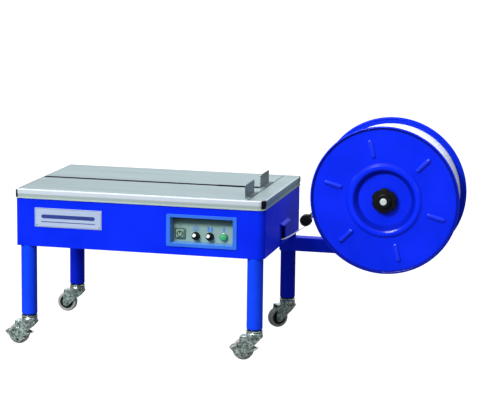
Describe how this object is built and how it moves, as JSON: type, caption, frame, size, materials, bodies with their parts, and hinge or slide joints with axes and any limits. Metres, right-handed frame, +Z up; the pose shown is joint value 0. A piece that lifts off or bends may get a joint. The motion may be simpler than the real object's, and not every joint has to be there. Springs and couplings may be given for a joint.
{
  "type": "semi automatic strapping machine",
  "caption": "Low steel strapping table on swivel casters with hinged stainless top covers, a recessed control panel, a sealing head and a strap reel on a side arm.",
  "frame": {"origin": "middle of the whole machine's footprint, on the floor", "axes": "+X towards the reel end, +Y from the operator to the back, +Z up"},
  "size_m": [1.597, 0.6013, 0.8227],
  "materials": {
    "blue_paint": "gloss powder coat",
    "stainless": "fine brushed",
    "frame_steel": "satin",
    "steel": "machined",
    "zinc": "bright zinc plate",
    "black_plastic": "satin moulded",
    "label_metal": "satin",
    "bezel_blue": "gloss",
    "panel_grey": "satin",
    "switch_grey": "satin",
    "button_green": "gloss",
    "tread_grey": "matt",
    "hub_dark": "moulded",
    "strap_white": "embossed polypropylene",
    "lever_black": "satin",
    "motor_grey": "satin",
    "belt_rubber": "matt",
    "box_grey": "satin"
  },
  "bodies": {
    "machine": {"casing": "blue_paint", "bottom_pan": "blue_paint", "table_frame": "frame_steel", "edge_band": "stainless", "corner_caps": "black_plastic", "hinge_rods": "steel", "end_plate": "stainless", "name_plate": "label_metal", "control_bezel": "bezel_blue", "control_panel": "panel_grey", "strap_inlet": "blue_paint", "cable_gland": "black_plastic", "caster_plates": "zinc", "reel_arm": "blue_paint", "reel_axle": "steel", "brake_spring": "steel", "strap_run": "strap_white", "motor": "motor_grey", "drive_belt": "belt_rubber", "head_frame": "frame_steel", "control_box": "box_grey", "screws": "zinc", "leg_front_left": "blue_paint", "leg_front_right": "blue_paint", "leg_rear_left": "blue_paint", "leg_rear_right": "blue_paint"},
    "front_cover": {"front_cover": "stainless", "stop_plate_front": "stainless"},
    "rear_cover": {"rear_cover": "stainless", "stop_plate_rear": "stainless"},
    "power_switch": {"power_switch": "switch_grey"},
    "timer_knob": {"timer_knob": "black_plastic"},
    "tension_knob": {"tension_knob": "black_plastic"},
    "reset_button": {"reset_button": "button_green"},
    "reel": {"flange_front": "blue_paint", "flange_rear": "blue_paint", "reel_core": "frame_steel", "strap_coil": "strap_white"},
    "hub_knob": {"hub_knob": "black_plastic"},
    "brake_lever": {"brake_lever": "lever_black"},
    "guide_roller": {"guide_roller": "black_plastic"},
    "motor_pulley": {"motor_pulley": "frame_steel"},
    "camshaft": {"camshaft": "steel"},
    "press_head": {"press_head": "steel"},
    "heater_blade": {"heater_blade": "steel"},
    "feed_roller": {"feed_roller": "steel"},
    "caster_front_left": {"fork_front_left": "zinc"},
    "wheel_front_left": {"tread_front_left": "tread_grey", "hub_front_left": "hub_dark"},
    "pedal_front_left": {"pedal_front_left": "zinc"},
    "caster_front_right": {"fork_front_right": "zinc"},
    "wheel_front_right": {"tread_front_right": "tread_grey", "hub_front_right": "hub_dark"},
    "pedal_front_right": {"pedal_front_right": "zinc"},
    "caster_rear_left": {"fork_rear_left": "zinc"},
    "wheel_rear_left": {"tread_rear_left": "tread_grey", "hub_rear_left": "hub_dark"},
    "caster_rear_right": {"fork_rear_right": "zinc"},
    "wheel_rear_right": {"tread_rear_right": "tread_grey", "hub_rear_right": "hub_dark"}
  },
  "joints": [
    {"name": "front_cover_hinge", "type": "hinge", "parent": "machine", "child": "front_cover", "pos_m": [-0.2925, -0.273, 0.566], "axis": [1, 0, 0], "range_deg": [0, 85]},
    {"name": "rear_cover_hinge", "type": "hinge", "parent": "machine", "child": "rear_cover", "pos_m": [-0.2925, 0.273, 0.566], "axis": [-1, 0, 0], "range_deg": [0, 85]},
    {"name": "power_press", "type": "slide", "parent": "machine", "child": "power_switch", "axis": [0, 1, 0], "range_m": [0, 0.003], "stiffness_N_per_m": 400},
    {"name": "timer_turn", "type": "hinge", "parent": "machine", "child": "timer_knob", "pos_m": [-0.089, -0.27, 0.434], "axis": [0, -1, 0], "range_deg": [-135, 135]},
    {"name": "tension_turn", "type": "hinge", "parent": "machine", "child": "tension_knob", "pos_m": [-0.038, -0.27, 0.434], "axis": [0, -1, 0], "range_deg": [-135, 135]},
    {"name": "reset_press", "type": "slide", "parent": "machine", "child": "reset_button", "axis": [0, 1, 0], "range_m": [0, 0.0035], "stiffness_N_per_m": 300},
    {"name": "swivel_front_left", "type": "hinge", "parent": "machine", "child": "caster_front_left", "pos_m": [-0.7115, -0.269, 0.101], "axis": [0, 0, 1], "continuous": true},
    {"name": "roll_front_left", "type": "hinge", "parent": "caster_front_left", "child": "wheel_front_left", "pos_m": [-0.7515, -0.269, 0.0375], "axis": [0, 1, 0], "continuous": true},
    {"name": "brake_front_left", "type": "hinge", "parent": "caster_front_left", "child": "pedal_front_left", "pos_m": [-0.7515, -0.269, 0.0375], "axis": [0, -1, 0], "range_deg": [0, 12]},
    {"name": "swivel_front_right", "type": "hinge", "parent": "machine", "child": "caster_front_right", "pos_m": [0.1265, -0.269, 0.101], "axis": [0, 0, 1], "continuous": true},
    {"name": "roll_front_right", "type": "hinge", "parent": "caster_front_right", "child": "wheel_front_right", "pos_m": [0.0865, -0.269, 0.0375], "axis": [0, 1, 0], "continuous": true},
    {"name": "brake_front_right", "type": "hinge", "parent": "caster_front_right", "child": "pedal_front_right", "pos_m": [0.0865, -0.269, 0.0375], "axis": [0, -1, 0], "range_deg": [0, 12]},
    {"name": "swivel_rear_left", "type": "hinge", "parent": "machine", "child": "caster_rear_left", "pos_m": [-0.7115, 0.269, 0.101], "axis": [0, 0, 1], "continuous": true},
    {"name": "roll_rear_left", "type": "hinge", "parent": "caster_rear_left", "child": "wheel_rear_left", "pos_m": [-0.7515, 0.269, 0.0375], "axis": [0, 1, 0], "continuous": true},
    {"name": "swivel_rear_right", "type": "hinge", "parent": "machine", "child": "caster_rear_right", "pos_m": [0.1265, 0.269, 0.101], "axis": [0, 0, 1], "continuous": true},
    {"name": "roll_rear_right", "type": "hinge", "parent": "caster_rear_right", "child": "wheel_rear_right", "pos_m": [0.09586, 0.24329, 0.0375], "axis": [-0.6428, 0.766, 0], "continuous": true},
    {"name": "reel_spin", "type": "hinge", "parent": "machine", "child": "reel", "pos_m": [0.5275, 0.02833, 0.54189], "axis": [0, 0.9986, 0.0523], "continuous": true},
    {"name": "hub_knob_turn", "type": "hinge", "parent": "machine", "child": "hub_knob", "pos_m": [0.5275, 0.02833, 0.54189], "axis": [0, -0.9986, -0.0523], "range_deg": [0, 360]},
    {"name": "brake_lever_swing", "type": "hinge", "parent": "machine", "child": "brake_lever", "pos_m": [0.3475, 0.247, 0.56], "axis": [0, 1, 0], "range_deg": [0, 10], "stiffness_Nm_per_rad": 2, "springref_deg": -17.19},
    {"name": "roller_spin", "type": "hinge", "parent": "brake_lever", "child": "guide_roller", "pos_m": [0.2375, 0.055, 0.451], "axis": [0, 1, 0], "continuous": true},
    {"name": "camshaft_spin", "type": "hinge", "parent": "machine", "child": "camshaft", "pos_m": [-0.0025, 0, 0.452], "axis": [0, 1, 0], "continuous": true},
    {"name": "motor_pulley_spin", "type": "hinge", "parent": "machine", "child": "motor_pulley", "pos_m": [-0.2325, 0.075, 0.452], "axis": [0, 1, 0], "continuous": true},
    {"name": "press_lift", "type": "slide", "parent": "machine", "child": "press_head", "axis": [0, 0, 1], "range_m": [0, 0.012]},
    {"name": "heater_reach", "type": "slide", "parent": "machine", "child": "heater_blade", "axis": [0, -1, 0], "range_m": [0, 0.035]},
    {"name": "feed_roller_spin", "type": "hinge", "parent": "machine", "child": "feed_roller", "pos_m": [0.0855, 0, 0.47], "axis": [0, 1, 0], "continuous": true}
  ],
  "couplings": [
    {"joint": "motor_pulley_spin", "follows": "camshaft_spin", "ratio": 2.2353}
  ]
}
